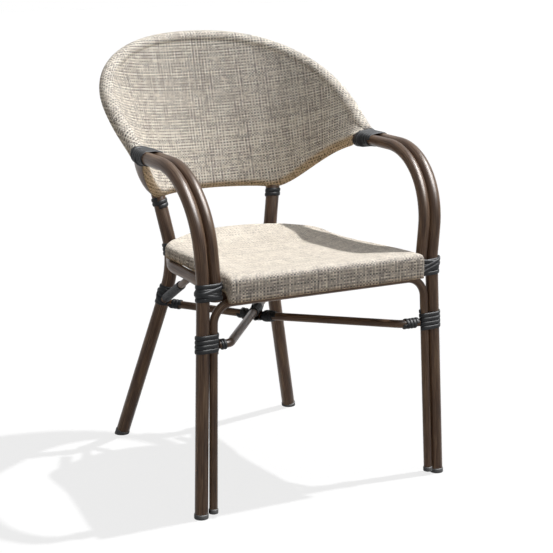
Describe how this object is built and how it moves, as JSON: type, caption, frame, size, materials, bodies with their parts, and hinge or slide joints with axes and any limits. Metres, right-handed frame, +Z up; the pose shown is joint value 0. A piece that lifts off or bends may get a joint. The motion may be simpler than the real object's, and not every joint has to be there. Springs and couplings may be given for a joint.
{
  "type": "cafe armchair",
  "caption": "Outdoor cafe armchair: bent tube frame painted as dark cane, wound joints, curved woven back, woven seat, crossed leg rods.",
  "frame": {"origin": "on the floor under the middle of the chair's bounds", "axes": "+Z up, the sitter faces -Y, +X to the right of a viewer who looks along +Y"},
  "size_m": [0.5534, 0.615, 0.8479],
  "materials": {
    "cane_paint": "dark brown paint with fine lengthwise cane streaks, semi gloss",
    "binding_strip": "charcoal flat strip, satin",
    "woven_fabric": "plain weave of coated yarn in cream, taupe and charcoal brown",
    "foot_cap": "black, matt"
  },
  "bodies": {
    "root": {"back_hoop": "cane_paint", "back_lower_bar": "cane_paint", "front_u_tube": "cane_paint", "arm_front_leg_left": "cane_paint", "inner_arm_left": "cane_paint", "rear_leg_left": "cane_paint", "seat_rail_left": "cane_paint", "arm_front_leg_right": "cane_paint", "inner_arm_right": "cane_paint", "rear_leg_right": "cane_paint", "seat_rail_right": "cane_paint", "corner_brace_left": "cane_paint", "corner_brace_right": "cane_paint", "seat_spreader_front": "cane_paint", "seat_spreader_rear": "cane_paint", "cross_rod_1": "cane_paint", "cross_rod_2": "cane_paint", "seat_frame": "cane_paint", "seat_lug_left_1": "cane_paint", "seat_lug_left_2": "cane_paint", "seat_lug_right_1": "cane_paint", "seat_lug_right_2": "cane_paint", "seat_sling": "woven_fabric", "back_sling": "woven_fabric", "foot_cap_front_left": "foot_cap", "foot_cap_u_left": "foot_cap", "foot_cap_rear_left": "foot_cap", "foot_cap_front_right": "foot_cap", "foot_cap_u_right": "foot_cap", "foot_cap_rear_right": "foot_cap", "winding_arm_joint_left": "binding_strip", "winding_upright_top_left": "binding_strip", "winding_upright_seat_left": "binding_strip", "winding_rear_leg_left": "binding_strip", "winding_front_seat_left": "binding_strip", "winding_front_lower_left": "binding_strip", "winding_brace_left": "binding_strip", "winding_arm_joint_right": "binding_strip", "winding_upright_top_right": "binding_strip", "winding_upright_seat_right": "binding_strip", "winding_rear_leg_right": "binding_strip", "winding_front_seat_right": "binding_strip", "winding_front_lower_right": "binding_strip", "winding_brace_right": "binding_strip", "winding_rod_end_left": "binding_strip", "winding_rod_end_right": "binding_strip", "winding_crossing_front": "binding_strip", "winding_crossing_rear": "binding_strip"}
  },
  "joints": []
}
